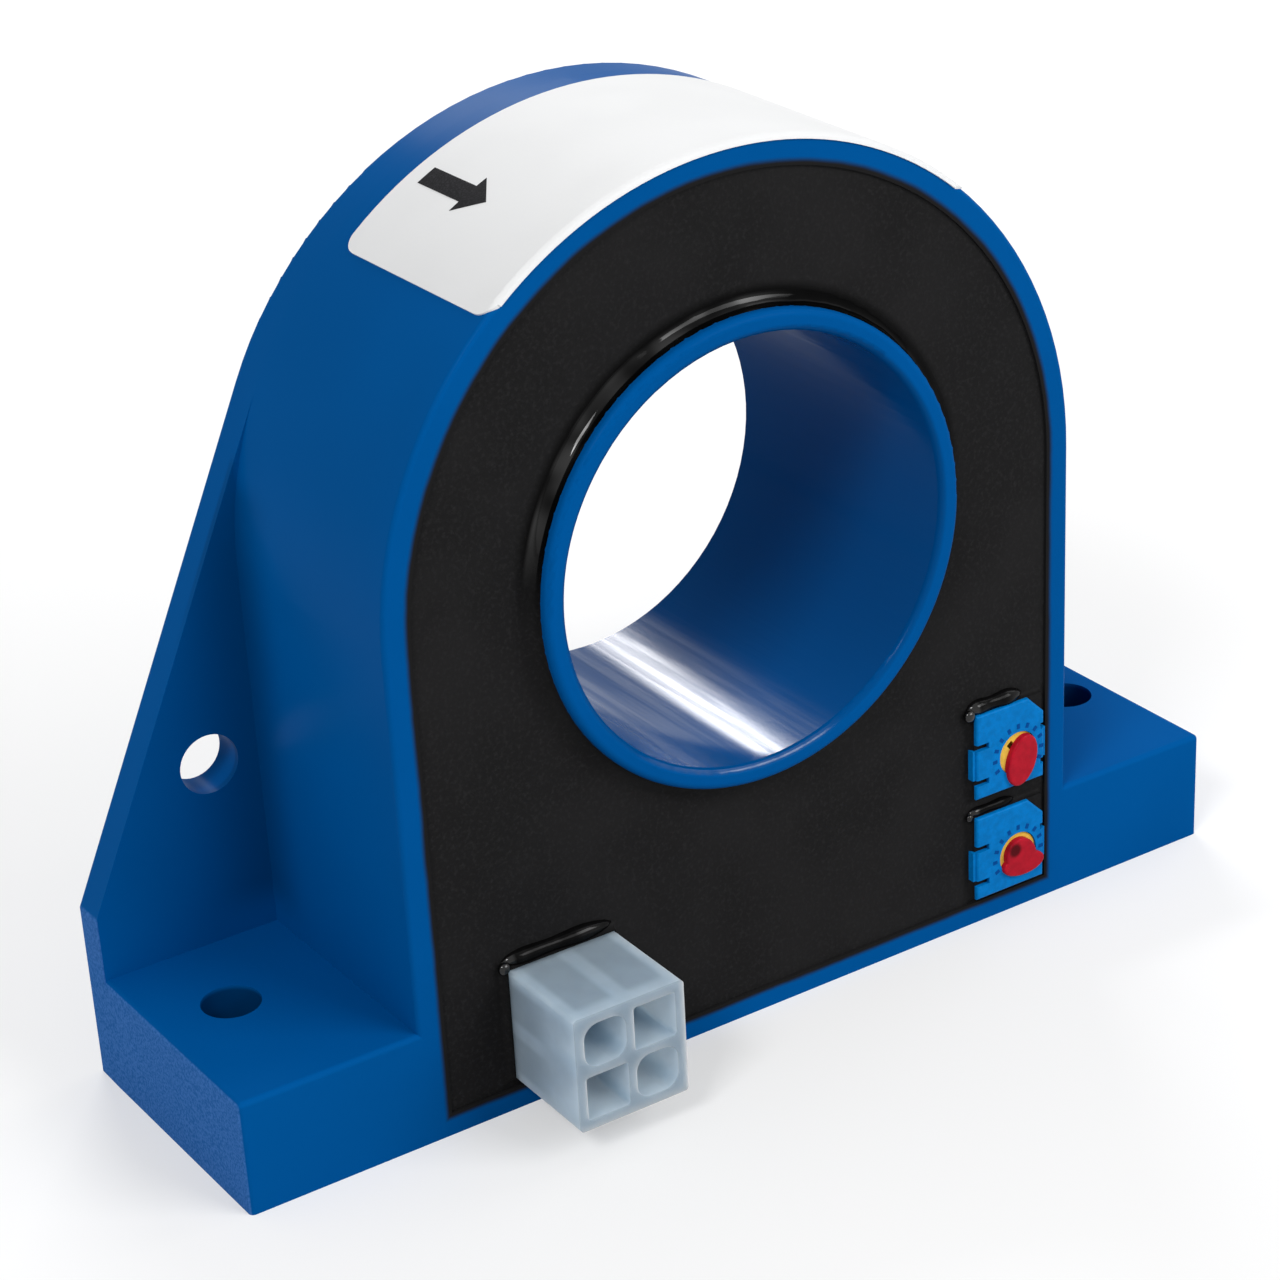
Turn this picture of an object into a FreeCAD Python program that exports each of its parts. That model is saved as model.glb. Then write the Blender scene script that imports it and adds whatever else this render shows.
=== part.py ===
import FreeCAD, Part
import math
import os
from FreeCAD import Vector

# Hall effect current sensor: a potted ring core round a conductor window,
# in a one-piece moulded housing with feet and a drilled back flange.
# X runs across the front, +Y into the depth, +Z up. The origin is the centre
# of the underside. The open, potted side looks towards -Y.

# Housing
base_width = 86.4
body_depth = 23.4
foot_height = 9.0
arch_radius = 29.2
bore_height = 37.6
side_wall = 2.1
floor_wall = 1.8
back_wall = 2.0
edge_round = 0.4
back_round = 0.3

# Mould draft: how far the outside spreads from the front to the flange
draft_spread = 0.33

# Conductor window, a tube moulded with the back wall
bore_radius = 16.0
tube_wall = 1.6
tube_rise = 1.6
lip_round = 0.55
window_chamfer = 0.6

# Back flange, tapering tangent to the arch
flange_thickness = 3.0
flange_end_height = 13.9

# Fixing holes: one down through each foot, two through the flange
foot_hole_radius = 2.2
left_hole_inset = 5.7
right_hole_inset = 3.6
foot_hole_back = 0.5
flange_hole_radius = 2.3
flange_hole_inset = 9.8
flange_hole_height = 23.3

# Potting resin
resin_drop = 0.2
tube_meniscus = 1.0
connector_meniscus = 0.7
trimmer_meniscus = 0.45

# Ring core with its air gap at the bottom
core_tube_gap = 1.0
core_wall_gap = 1.5
core_front_gap = 3.0
core_back_gap = 1.5
core_air_gap = 2.6
core_bevel = 0.3

# Hall element, standing in the air gap
hall_thickness = 1.55
hall_depth = 3.0
hall_height = 4.1
hall_bevel = 0.4
hall_lead_count = 4
hall_lead_pitch = 1.27
hall_lead_width = 0.45
hall_lead_thickness = 0.38

# Circuit board, parallel to the front
board_depth = 4.3
board_thickness = 1.6
board_edge_gap = 0.4
board_tube_gap = 1.2
board_height = 20.0
lead_stub = 1.0

# Four-way header, two by two
connector_size = 9.0
connector_reach = 9.0
connector_wall_gap = 5.1
connector_floor_gap = 0.95
connector_pitch = 4.1
connector_round = 0.3
cavity_size = 3.5
cavity_depth = 8.8
cavity_corner = 0.25
keyed_corner = 1.2
contact_size = 1.07
contact_recess = 5.5
contact_point = 0.3

# Trimmers: offset above, gain below
trimmer_names = ["offset", "gain"]
trimmer_width = 6.6
trimmer_height = 7.1
trimmer_rise = 0.6
trimmer_wall_gap = 0.6
trimmer_floor_gap = 0.53
trimmer_pitch = 8.77
trimmer_corner = 1.5
trimmer_tab = 0.25
trimmer_round = 0.2
notch_height = 0.5
notch_depth_left = 1.2
notch_depth_right = 0.35
notch_upper = 0.85
notch_lower = -2.15
rotor_radius = 1.75
rotor_depth = 2.0
rotor_recess = 0.15
rotor_play = 0.05
rotor_offset_x = 0.75
rotor_offset_z = -0.75
slot_width = 0.55
slot_length = 2.6
slot_depth = 0.7
slot_angle = 128.0
trimmer_pin_size = 0.5
trimmer_pin_spread = 2.54
trimmer_pin_stagger = 1.27
trimmer_pin_root = 1.0

# Sealing lacquer dropped over the rotors, as ellipses measured from the
# rotor's centre: across, up, long half, short half, tilt in degrees
seal_height = 0.35
seal_round = 0.16
offset_seal_lobes = [(0.25, -0.62, 2.12, 1.36, 73.0)]
gain_seal_lobes = [(0.15, -0.2, 1.62, 1.42, 120.0), (0.4, -0.95, 2.0, 0.95, -2.0)]

# Chip components on the front of the board
chip_length = 4.9
chip_width = 3.9
chip_height = 1.5
chip_standoff = 0.15
chip_lead_span = 6.0
chip_lead_pitch = 1.27
chip_lead_width = 0.42
chip_lead_thickness = 0.22
chip_leads_per_side = 4
chip_shift = 4.2
chip_edge_gap = 1.0
small_length = 2.0
small_width = 1.25
small_end = 0.35
resistor_height = 0.5
resistors_per_side = 4
resistor_first_x = 1.6
resistor_step = 1.7
resistor_gap = 0.75
capacitor_height = 0.9
capacitor_count = 4
capacitor_step = 2.2
capacitor_gap = 1.2
diode_length = 4.3
diode_width = 2.6
diode_height = 2.1
diode_tab_width = 1.4
diode_tab_thickness = 0.25
diode_tab_reach = 0.45
diode_bevel = 0.35
diode_count = 2
diode_step = 3.6
diode_edge_gap = 1.5
diode_gap = 2.0

# Solder
solder_height = 0.7
solder_spread = 0.45
solder_tip = 0.1
solder_sides = 8
hall_solder_spread = 0.12

# Sticker on the arch, turned down over its front edge
label_thickness = 0.12
label_back_gap = 5.0
label_turn = 80.0
label_half_angle = 42.5
label_corner = 1.3

# Places that follow from the sizes above
front_y = -body_depth / 2
back_y = body_depth / 2
flange_y = back_y - flange_thickness
back_radius = arch_radius + draft_spread
back_half_width = base_width / 2 + draft_spread
slant = math.atan(draft_spread / (flange_y - front_y))
chamber_back_y = back_y - back_wall
resin_y = front_y + resin_drop
tube_radius = bore_radius + tube_wall
chamber_radius = arch_radius - side_wall
board_front_y = front_y + board_depth
board_back_y = board_front_y + board_thickness
board_half = chamber_radius - board_edge_gap
board_bottom = floor_wall + board_edge_gap
core_inner_radius = tube_radius + core_tube_gap
core_outer_radius = chamber_radius - core_wall_gap
core_front_y = board_back_y + core_front_gap
core_back_y = chamber_back_y - core_back_gap
hall_y = (core_front_y + core_back_y) / 2
hall_z = bore_height - (core_inner_radius + core_outer_radius) / 2
connector_x = connector_wall_gap + connector_size / 2 - chamber_radius
connector_z = floor_wall + connector_floor_gap + connector_size / 2
connector_face_y = front_y - connector_reach
trimmer_x = chamber_radius - trimmer_wall_gap - trimmer_width / 2
trimmer_low_z = floor_wall + trimmer_floor_gap + trimmer_height / 2
trimmer_face_y = front_y - trimmer_rise
trimmer_body_depth = board_front_y - trimmer_face_y
rotor_face_y = trimmer_face_y + rotor_recess
chip_z = board_bottom + chip_edge_gap + chip_lead_span / 2
resistor_z = chip_z + (chip_lead_span + small_length) / 2 + resistor_gap
capacitor_x = trimmer_x - trimmer_width / 2 - capacitor_gap - small_length / 2
diode_x = diode_edge_gap + diode_tab_reach + diode_length / 2 - board_half
diode_low_z = connector_z + (connector_size + diode_width) / 2 + diode_gap
ACROSS = Vector(1, 0, 0)
INWARD = Vector(0, 1, 0)
UP = Vector(0, 0, 1)
overrun = 1.0


def block(x_mid, y_start, z_mid, x_size, y_size, z_size):
    """A box centred in X and Z that starts at one Y."""
    corner = Vector(x_mid - x_size / 2, y_start, z_mid - z_size / 2)
    return Part.makeBox(x_size, y_size, z_size, corner)


def rod(radius, x, y_start, z, length):
    """A cylinder along +Y."""
    return Part.makeCylinder(radius, length, Vector(x, y_start, z), INWARD)


def fused(solids):
    """One shape from solids that touch or overlap."""
    first, rest = solids[0], solids[1:]
    if not rest:
        return first
    return first.fuse(rest).removeSplitter()


def picked(shape, chosen):
    """The edges that a test picks by their middle point and direction."""
    edges = []
    for edge in shape.Edges:
        middle = edge.valueAt((edge.FirstParameter + edge.LastParameter) / 2)
        ends = edge.Vertexes[-1].Point - edge.Vertexes[0].Point
        if chosen(middle, ends):
            edges.append(edge)
    return edges


def round_edges(shape, radius, chosen):
    return shape.makeFillet(radius, picked(shape, chosen))


def bevel_edges(shape, size, chosen):
    return shape.makeChamfer(size, picked(shape, chosen))


def near(value, target):
    return abs(value - target) < 1e-4


def along(ends, direction):
    """True where an edge runs along one direction."""
    return ends.Length > 1e-6 and near(abs(ends.dot(direction)), ends.Length)


def arch_block(radius, bottom, y_start, y_end):
    """A slab with straight sides under a half-round top about the bore."""
    low_left = Vector(-radius, y_start, bottom)
    low_right = Vector(radius, y_start, bottom)
    high_left = Vector(-radius, y_start, bore_height)
    high_right = Vector(radius, y_start, bore_height)
    crown = Vector(0, y_start, bore_height + radius)
    edges = [
        Part.makeLine(low_left, low_right),
        Part.makeLine(low_right, high_right),
        Part.Arc(high_right, crown, high_left).toShape(),
        Part.makeLine(high_left, low_left),
    ]
    return Part.Face(Part.Wire(edges)).extrude(INWARD * (y_end - y_start))


def flange_outline():
    """The back plate's outline: slanting edges that run tangent to the arch."""
    across = back_half_width
    down = bore_height - flange_end_height
    reach = math.hypot(across, down)
    angle = math.acos(back_radius / reach) - math.atan2(down, across)
    touch_x = back_radius * math.cos(angle)
    touch_z = bore_height + back_radius * math.sin(angle)
    low_left = Vector(-across, flange_y, 0)
    low_right = Vector(across, flange_y, 0)
    end_right = Vector(across, flange_y, flange_end_height)
    end_left = Vector(-across, flange_y, flange_end_height)
    touch_right = Vector(touch_x, flange_y, touch_z)
    touch_left = Vector(-touch_x, flange_y, touch_z)
    crown = Vector(0, flange_y, bore_height + back_radius)
    edges = [
        Part.makeLine(low_left, low_right),
        Part.makeLine(low_right, end_right),
        Part.makeLine(end_right, touch_right),
        Part.Arc(touch_right, crown, touch_left).toShape(),
        Part.makeLine(touch_left, end_left),
        Part.makeLine(end_left, low_left),
    ]
    return Part.Wire(edges)


def flange_plate():
    """The back plate, arch and flange in one outline, its back rim rounded."""
    plate = Part.Face(flange_outline()).extrude(INWARD * flange_thickness)

    def back_rim(middle, ends):
        return near(middle.y, back_y) and not near(middle.z, 0)

    return round_edges(plate, back_round, back_rim)


def drafted_bar(half_width, height):
    """A bar from the front to the back plate that widens with the draft."""
    wide = half_width + draft_spread
    corners = [
        Vector(-half_width, front_y, 0),
        Vector(half_width, front_y, 0),
        Vector(wide, flange_y, 0),
        Vector(-wide, flange_y, 0),
    ]
    plan = Part.Face(Part.makePolygon(corners + corners[:1]))
    return plan.extrude(UP * height)


def arch_shell():
    """The drafted arch from the front to the back plate, its front rim rounded."""
    hub = Vector(0, front_y, bore_height)
    depth = flange_y - front_y
    crown = Part.makeCone(arch_radius, back_radius, depth, hub, INWARD)
    lower_half = block(0, front_y, 0, 2 * base_width, depth, 2 * bore_height)
    arch = fused([crown.cut(lower_half), drafted_bar(arch_radius, bore_height)])

    def rim(middle, ends):
        return near(middle.y, front_y) and not near(middle.z, 0)

    return round_edges(arch, edge_round, rim)


def foot_bar():
    """Both feet as one bar, flush with the arch in front."""
    bar = drafted_bar(base_width / 2, foot_height)

    def exposed(middle, ends):
        at_top = near(middle.z, foot_height)
        at_front = near(middle.y, front_y)
        at_end = abs(middle.x) > base_width / 2 - draft_spread
        return (at_top and at_front) or (at_top and at_end) or (at_front and at_end)

    return round_edges(bar, edge_round, exposed)


def window_tube():
    """The tube round the conductor window, with its rounded lip."""
    length = chamber_back_y - front_y + tube_rise + back_wall / 2
    start = front_y - tube_rise
    tube = rod(tube_radius, 0, start, bore_height, length)
    tube = tube.cut(rod(bore_radius, 0, start - overrun, bore_height, length + 2 * overrun))

    def lip(middle, ends):
        return near(middle.y, start)

    return round_edges(tube, lip_round, lip)


def foot_hole(x):
    height = foot_height + 2 * overrun
    return Part.makeCylinder(foot_hole_radius, height, Vector(x, foot_hole_back, -overrun))


def flange_hole(x):
    length = flange_thickness + 2 * overrun
    return rod(flange_hole_radius, x, flange_y - overrun, flange_hole_height, length)


def make_housing():
    """Arch, feet and flange hollowed from the front, with the window's tube."""
    outer = fused([arch_shell(), foot_bar(), flange_plate()])
    chamber = arch_block(chamber_radius, floor_wall, front_y - overrun, chamber_back_y)
    window = rod(bore_radius, 0, front_y - overrun, bore_height, body_depth + 2 * overrun)
    shell = fused([outer.cut(chamber).cut(window), window_tube()])
    half = base_width / 2
    flange_x = half - flange_hole_inset
    holes = [foot_hole(left_hole_inset - half), foot_hole(half - right_hole_inset)]
    holes += [flange_hole(-flange_x), flange_hole(flange_x)]
    shell = shell.cut(holes)

    def window_mouth(middle, ends):
        from_axis = math.hypot(middle.x, middle.z - bore_height)
        return near(middle.y, back_y) and near(from_axis, bore_radius)

    return bevel_edges(shell, window_chamfer, window_mouth)


def connector_envelope(y_start, y_end):
    length = y_end - y_start
    return block(connector_x, y_start, connector_z, connector_size, length, connector_size)


def trimmer_envelope(z, y_start, y_end):
    return block(trimmer_x, y_start, z, trimmer_width, y_end - y_start, trimmer_height)


def meniscus(shape, stub, radius, inside):
    """Let the resin climb a piece that stands out of it, as a hollow curve."""
    joined = shape.fuse(stub).removeSplitter()

    def foot_of_stub(middle, ends):
        return near(middle.y, resin_y) and inside(middle)

    return round_edges(joined, radius, foot_of_stub)


def trimmer_pocket(row, depth):
    """The round pocket that the rotor sits in, open towards the front."""
    x, z = rotor_place(row)
    start = trimmer_face_y - overrun
    return rod(rotor_radius + rotor_play, x, start, z, rotor_face_y + depth - start)


def make_resin(embedded):
    """The resin fill, cut by everything that is cast into it."""
    fill = arch_block(chamber_radius, floor_wall, resin_y, chamber_back_y)
    lip_y = front_y - tube_rise - overrun
    tube = rod(tube_radius, 0, lip_y, bore_height, chamber_back_y - lip_y)

    def by_tube(point):
        return math.hypot(point.x, point.z - bore_height) < tube_radius + tube_meniscus

    fill = meniscus(fill, tube, tube_meniscus, by_tube)
    plug = connector_envelope(connector_face_y, board_front_y)

    def by_connector(point):
        limit = connector_size / 2 + connector_meniscus
        return max(abs(point.x - connector_x), abs(point.z - connector_z)) < limit

    fill = meniscus(fill, plug, connector_meniscus, by_connector)
    cutters = [tube, plug]
    for row in range(len(trimmer_names)):
        z = trimmer_z(row)
        start = trimmer_face_y - overrun
        stub = trimmer_envelope(z, start, board_front_y)

        def by_trimmer(point):
            across = abs(point.x - trimmer_x) < (trimmer_width + trimmer_meniscus) / 2
            upward = abs(point.z - z) < (trimmer_height + trimmer_meniscus) / 2
            return across and upward

        fill = meniscus(fill, stub, trimmer_meniscus, by_trimmer)
        cutters.append(trimmer_envelope(z, start, resin_y - trimmer_meniscus))
        cutters.append(trimmer_pocket(row, rotor_depth))
    return fill.cut(cutters + embedded)


def make_core():
    """A ring round the window's tube, cut through below it by the air gap."""
    width = core_back_y - core_front_y
    start = core_front_y - overrun
    ring = rod(core_outer_radius, 0, core_front_y, bore_height, width)
    ring = ring.cut(rod(core_inner_radius, 0, start, bore_height, width + 2 * overrun))

    def rims(middle, ends):
        return near(middle.y, core_front_y) or near(middle.y, core_back_y)

    ring = bevel_edges(ring, core_bevel, rims)
    height = core_outer_radius - core_inner_radius + 2 * overrun
    return ring.cut(block(0, start, hall_z, core_air_gap, width + 2 * overrun, height))


def make_hall_element():
    """A flat single-in-line package with one bevelled face."""
    package = block(0, hall_y - hall_depth / 2, hall_z, hall_thickness, hall_depth, hall_height)

    def face_rim(middle, ends):
        return near(middle.x, hall_thickness / 2)

    return bevel_edges(package, hall_bevel, face_rim)


def hall_lead_heights():
    first = hall_z - hall_lead_pitch * (hall_lead_count - 1) / 2
    return [first + hall_lead_pitch * number for number in range(hall_lead_count)]


def make_hall_leads():
    start = board_front_y - lead_stub
    length = hall_y - hall_depth / 2 - start
    leads = []
    for z in hall_lead_heights():
        leads.append(block(0, start, z, hall_lead_thickness, length, hall_lead_width))
    return leads


def trimmer_z(row):
    """Height of a trimmer's middle: row 0 is the upper one."""
    rows_above = len(trimmer_names) - 1 - row
    return trimmer_low_z + rows_above * trimmer_pitch


def rotor_place(row):
    return trimmer_x + rotor_offset_x, trimmer_z(row) + rotor_offset_z


def make_trimmer_body(row):
    """A square case with one cut corner, side tabs and the rotor's pocket."""
    z = trimmer_z(row)
    half_w = trimmer_width / 2
    half_h = trimmer_height / 2
    outline = [
        (-half_w, -half_h),
        (half_w, -half_h),
        (half_w, half_h - trimmer_corner),
        (half_w - trimmer_corner, half_h),
        (-half_w, half_h),
    ]
    points = [Vector(trimmer_x + x, trimmer_face_y, z + up) for x, up in outline]
    face = Part.Face(Part.makePolygon(points + points[:1]))
    case = face.extrude(INWARD * trimmer_body_depth)

    def face_edge(middle, ends):
        return near(middle.y, trimmer_face_y)

    case = round_edges(case, trimmer_round, face_edge)
    tab_middle = z + (notch_upper + notch_lower) / 2
    tab_height = notch_upper - notch_lower
    tab = block(
        trimmer_x,
        trimmer_face_y + trimmer_round,
        tab_middle,
        trimmer_width + 2 * trimmer_tab,
        trimmer_body_depth - trimmer_round,
        tab_height,
    )
    case = fused([case, tab])
    start = trimmer_face_y - overrun
    through = trimmer_body_depth + 2 * overrun
    cutters = [trimmer_pocket(row, rotor_depth)]
    for height in (z + notch_upper, z + notch_lower):
        for side, depth in ((-1, notch_depth_left), (1, notch_depth_right)):
            width = 2 * (depth + trimmer_tab)
            edge_x = trimmer_x + side * (half_w + trimmer_tab)
            cutters.append(block(edge_x, start, height, width, through, notch_height))
    return case.cut(cutters)


def make_trimmer_rotor(row):
    x, z = rotor_place(row)
    rotor = rod(rotor_radius, x, rotor_face_y, z, rotor_depth)
    slot = block(0, rotor_face_y - overrun, 0, slot_length, slot_depth + overrun, slot_width)
    slot.rotate(Vector(0, 0, 0), INWARD, -slot_angle)
    slot.translate(Vector(x, 0, z))
    return rotor.cut(slot)


def seal_lobe(x, z, lobe):
    """One flat ellipse of lacquer, from the rotor's face outwards."""
    across, up, long_half, short_half, tilt = lobe
    ellipse = Part.Ellipse(Vector(0, 0, 0), long_half, short_half).toShape()
    pad = Part.Face(Part.Wire([ellipse])).extrude(UP * (rotor_recess + seal_height))
    pad.rotate(Vector(0, 0, 0), UP, tilt)
    pad.rotate(Vector(0, 0, 0), ACROSS, 90)
    pad.translate(Vector(x + across, rotor_face_y, z + up))
    return pad


def make_trimmer_seal(row, body, rotor):
    """A drop of lacquer that locks the rotor to the case."""
    x, z = rotor_place(row)
    lobes = offset_seal_lobes if row == 0 else gain_seal_lobes
    drop = fused([seal_lobe(x, z, lobe) for lobe in lobes])

    def crown(middle, ends):
        return near(middle.y, trimmer_face_y - seal_height)

    return round_edges(drop, seal_round, crown).cut([body, rotor])


def trimmer_pin_places(row):
    z = trimmer_z(row)
    places = []
    for number in (-1, 0, 1):
        stagger = trimmer_pin_stagger if number == 0 else -trimmer_pin_stagger
        places.append((trimmer_x + number * trimmer_pin_spread, z + stagger))
    return places


def make_trimmer_pins():
    start = board_front_y - trimmer_pin_root
    length = board_back_y + lead_stub - start
    pins = []
    for row in range(len(trimmer_names)):
        for x, z in trimmer_pin_places(row):
            pins.append(block(x, start, z, trimmer_pin_size, length, trimmer_pin_size))
    return pins


def way_places():
    """Column, row, X and Z of the four ways of the header."""
    places = []
    for column in (0, 1):
        for row in (0, 1):
            x = connector_x + (column - 0.5) * connector_pitch
            z = connector_z + (row - 0.5) * connector_pitch
            places.append((column, row, x, z))
    return places


def make_connector_housing():
    """The header's body: two square ways and two rounded ones, crosswise."""
    body = connector_envelope(connector_face_y, board_front_y)

    def long_edge(middle, ends):
        return along(ends, INWARD)

    body = round_edges(body, connector_round, long_edge)
    cavities = []
    start = connector_face_y - overrun
    for column, row, x, z in way_places():
        cavity = block(x, start, z, cavity_size, cavity_depth + overrun, cavity_size)
        corner = cavity_corner if column == row else keyed_corner
        cavities.append(round_edges(cavity, corner, long_edge))
    return body.cut(cavities)


def make_contacts():
    """Square contacts with a pointed tip, soldered to the board."""
    start = connector_face_y + contact_recess
    length = board_back_y + lead_stub - start

    def tip(middle, ends):
        return near(middle.y, start)

    contacts = []
    for _, _, x, z in way_places():
        contact = block(x, start, z, contact_size, length, contact_size)
        contacts.append(bevel_edges(contact, contact_point, tip))
    return contacts


def make_board(leads):
    """The board, hollowed at its top to clear the tube, drilled for leads."""
    middle_z = board_bottom + board_height / 2
    plate = block(0, board_front_y, middle_z, 2 * board_half, board_thickness, board_height)
    through = board_thickness + 2 * overrun
    scallop_radius = tube_radius + board_tube_gap
    scallop = rod(scallop_radius, 0, board_front_y - overrun, bore_height, through)
    return plate.cut(scallop).cut(leads)


def chip_places():
    return [(-chip_shift, chip_z), (chip_shift, chip_z)]


def make_chips():
    chips = []
    top_y = board_front_y - chip_standoff - chip_height
    for x, z in chip_places():
        chips.append(block(x, top_y, z, chip_length, chip_height, chip_width))
    return chips


def gull_wing(x, z, side):
    """A bent lead: out of the chip's side, down and out along the board."""
    shoulder_y = board_front_y - chip_standoff - chip_height / 2
    root = z + side * chip_width / 2
    tip = z + side * chip_lead_span / 2
    knee = (root + tip) / 2
    thick = chip_lead_thickness
    outline = [
        (root, shoulder_y),
        (knee + side * thick / 2, shoulder_y),
        (knee + side * thick / 2, board_front_y - thick),
        (tip, board_front_y - thick),
        (tip, board_front_y),
        (knee - side * thick / 2, board_front_y),
        (knee - side * thick / 2, shoulder_y + thick),
        (root, shoulder_y + thick),
    ]
    points = [Vector(x - chip_lead_width / 2, y, up) for up, y in outline]
    return Part.Face(Part.makePolygon(points + points[:1])).extrude(ACROSS * chip_lead_width)


def make_chip_leads():
    leads = []
    for x, z in chip_places():
        first = x - chip_lead_pitch * (chip_leads_per_side - 1) / 2
        for number in range(chip_leads_per_side):
            for side in (-1, 1):
                leads.append(gull_wing(first + number * chip_lead_pitch, z, side))
    return leads


def resistor_places():
    """A row above the chips, left open in the middle for the hall leads."""
    places = []
    for side in (-1, 1):
        for number in range(resistors_per_side):
            places.append((side * (resistor_first_x + number * resistor_step), resistor_z))
    return places


def capacitor_places():
    """A column beside the trimmers."""
    first_z = board_bottom + capacitor_gap + small_width / 2
    return [(capacitor_x, first_z + number * capacitor_step) for number in range(capacitor_count)]


def diode_places():
    """A column above the header."""
    return [(diode_x, diode_low_z + number * diode_step) for number in range(diode_count)]


def resistor_part(x, z, start, length):
    """A slice of an upright resistor, from one height over its length."""
    middle_z = z + start + length / 2
    top_y = board_front_y - resistor_height
    return block(x, top_y, middle_z, small_width, resistor_height, length)


def make_resistors():
    length = small_length - 2 * small_end
    return [resistor_part(x, z, -length / 2, length) for x, z in resistor_places()]


def make_resistor_ends():
    half = small_length / 2
    ends = []
    for x, z in resistor_places():
        ends.append(resistor_part(x, z, -half, small_end))
        ends.append(resistor_part(x, z, half - small_end, small_end))
    return ends


def capacitor_part(x, z, start, length):
    """A slice of a lying capacitor, from one place across over its length."""
    middle_x = x + start + length / 2
    top_y = board_front_y - capacitor_height
    return block(middle_x, top_y, z, length, capacitor_height, small_width)


def make_capacitors():
    length = small_length - 2 * small_end
    return [capacitor_part(x, z, -length / 2, length) for x, z in capacitor_places()]


def make_capacitor_ends():
    half = small_length / 2
    ends = []
    for x, z in capacitor_places():
        ends.append(capacitor_part(x, z, -half, small_end))
        ends.append(capacitor_part(x, z, half - small_end, small_end))
    return ends


def make_diodes():
    """Moulded diodes with a bevelled top."""
    top_y = board_front_y - diode_height

    def top_rim(middle, ends):
        return near(middle.y, top_y)

    diodes = []
    for x, z in diode_places():
        body = block(x, top_y, z, diode_length, diode_height, diode_width)
        diodes.append(bevel_edges(body, diode_bevel, top_rim))
    return diodes


def make_diode_tabs():
    """Flat tabs that lie on the board at both ends of a diode."""
    start = board_front_y - diode_tab_thickness
    reach = (diode_length + diode_tab_reach) / 2
    size = (diode_tab_reach, diode_tab_thickness, diode_tab_width)
    tabs = []
    for x, z in diode_places():
        tabs.append(block(x - reach, start, z, *size))
        tabs.append(block(x + reach, start, z, *size))
    return tabs


def even_polygon(radius, x, y, z):
    """A closed outline of equal sides in the board's plane."""
    turn = 2 * math.pi / solder_sides
    points = []
    for number in range(solder_sides + 1):
        angle = number * turn
        points.append(Vector(x + radius * math.cos(angle), y, z + radius * math.sin(angle)))
    return Part.makePolygon(points)


def solder_fillet(x, z, half, spread, side):
    """Solder tapering up a lead: on the back for +1, on the front for -1."""
    base_y = board_back_y if side > 0 else board_front_y
    foot = even_polygon(half + spread, x, base_y, z)
    top = even_polygon(half + solder_tip, x, base_y + side * solder_height, z)
    return Part.makeLoft([foot, top], True, True)


def make_solder(leads):
    contact_half = contact_size / math.sqrt(2)
    pin_half = trimmer_pin_size / math.sqrt(2)
    hall_half = hall_lead_width / math.sqrt(2)
    joints = []
    for _, _, x, z in way_places():
        joints.append(solder_fillet(x, z, contact_half, solder_spread, 1))
    for row in range(len(trimmer_names)):
        for x, z in trimmer_pin_places(row):
            joints.append(solder_fillet(x, z, pin_half, solder_spread, 1))
    for z in hall_lead_heights():
        joints.append(solder_fillet(0, z, hall_half, hall_solder_spread, -1))
    return [joint.cut(leads) for joint in joints]


def arch_surface(y):
    """Radius of the drafted arch at one depth."""
    return arch_radius + math.tan(slant) * (y - front_y)


def label_profile():
    """The sticker's section at the crown, its front turned round the rim."""
    rim_y = front_y + edge_round
    rim_z = bore_height + arch_surface(rim_y) - edge_round / math.cos(slant)
    end_y = back_y - label_back_gap
    first_turn = math.degrees(slant)
    turns = (first_turn, (first_turn + label_turn) / 2, label_turn)

    def on_rim(height, turned):
        angle = math.radians(turned)
        radius = edge_round + height
        return Vector(0, rim_y - radius * math.sin(angle), rim_z + radius * math.cos(angle))

    end_z = bore_height + arch_surface(end_y)
    under_end = Vector(0, end_y, end_z)
    over_end = Vector(0, end_y, end_z + label_thickness / math.cos(slant))
    under = [on_rim(0, turned) for turned in turns]
    over = [on_rim(label_thickness, turned) for turned in reversed(turns)]
    edges = [
        Part.makeLine(under_end, under[0]),
        Part.Arc(*under).toShape(),
        Part.makeLine(under[-1], over[0]),
        Part.Arc(*over).toShape(),
        Part.makeLine(over[-1], over_end),
        Part.makeLine(over_end, under_end),
    ]
    return Part.Face(Part.Wire(edges))


def make_label():
    """A thin sticker bent over the arch, with rounded corners."""
    centre = Vector(0, 0, bore_height)
    strip = label_profile()
    strip.rotate(centre, INWARD, -label_half_angle)
    sheet = strip.revolve(centre, INWARD, 2 * label_half_angle)
    for side in (-1, 1):
        for y, outward in ((front_y, -1), (back_y - label_back_gap, 1)):
            sheet = sheet.cut(label_corner_cutter(side, y, outward))
    return sheet


def label_corner_cutter(side, y, outward):
    """What is trimmed off one corner of the sticker to round it."""
    low = bore_height + arch_radius - overrun
    height = 2 * overrun
    span = 2 * label_corner
    hub_y = y - outward * label_corner
    corner = Vector(min(0, side * span), min(hub_y, hub_y + outward * span), low)
    cutter = Part.makeBox(span, span, height, corner)
    cutter = cutter.cut(Part.makeCylinder(label_corner, height, Vector(0, hub_y, low)))
    centre = Vector(0, 0, bore_height)
    inset = math.degrees(label_corner / arch_radius)
    cutter.rotate(centre, INWARD, side * (label_half_angle - inset))
    return cutter


def save(name, shape):
    """Write one node, whether one solid or a group of separate solids."""
    solids = shape if isinstance(shape, list) else [shape]
    if len(solids) == 1:
        result = solids[0]
    else:
        result = Part.makeCompound(solids)
    result.exportStep(os.path.join("parts", name + ".step"))
    return result


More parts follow.
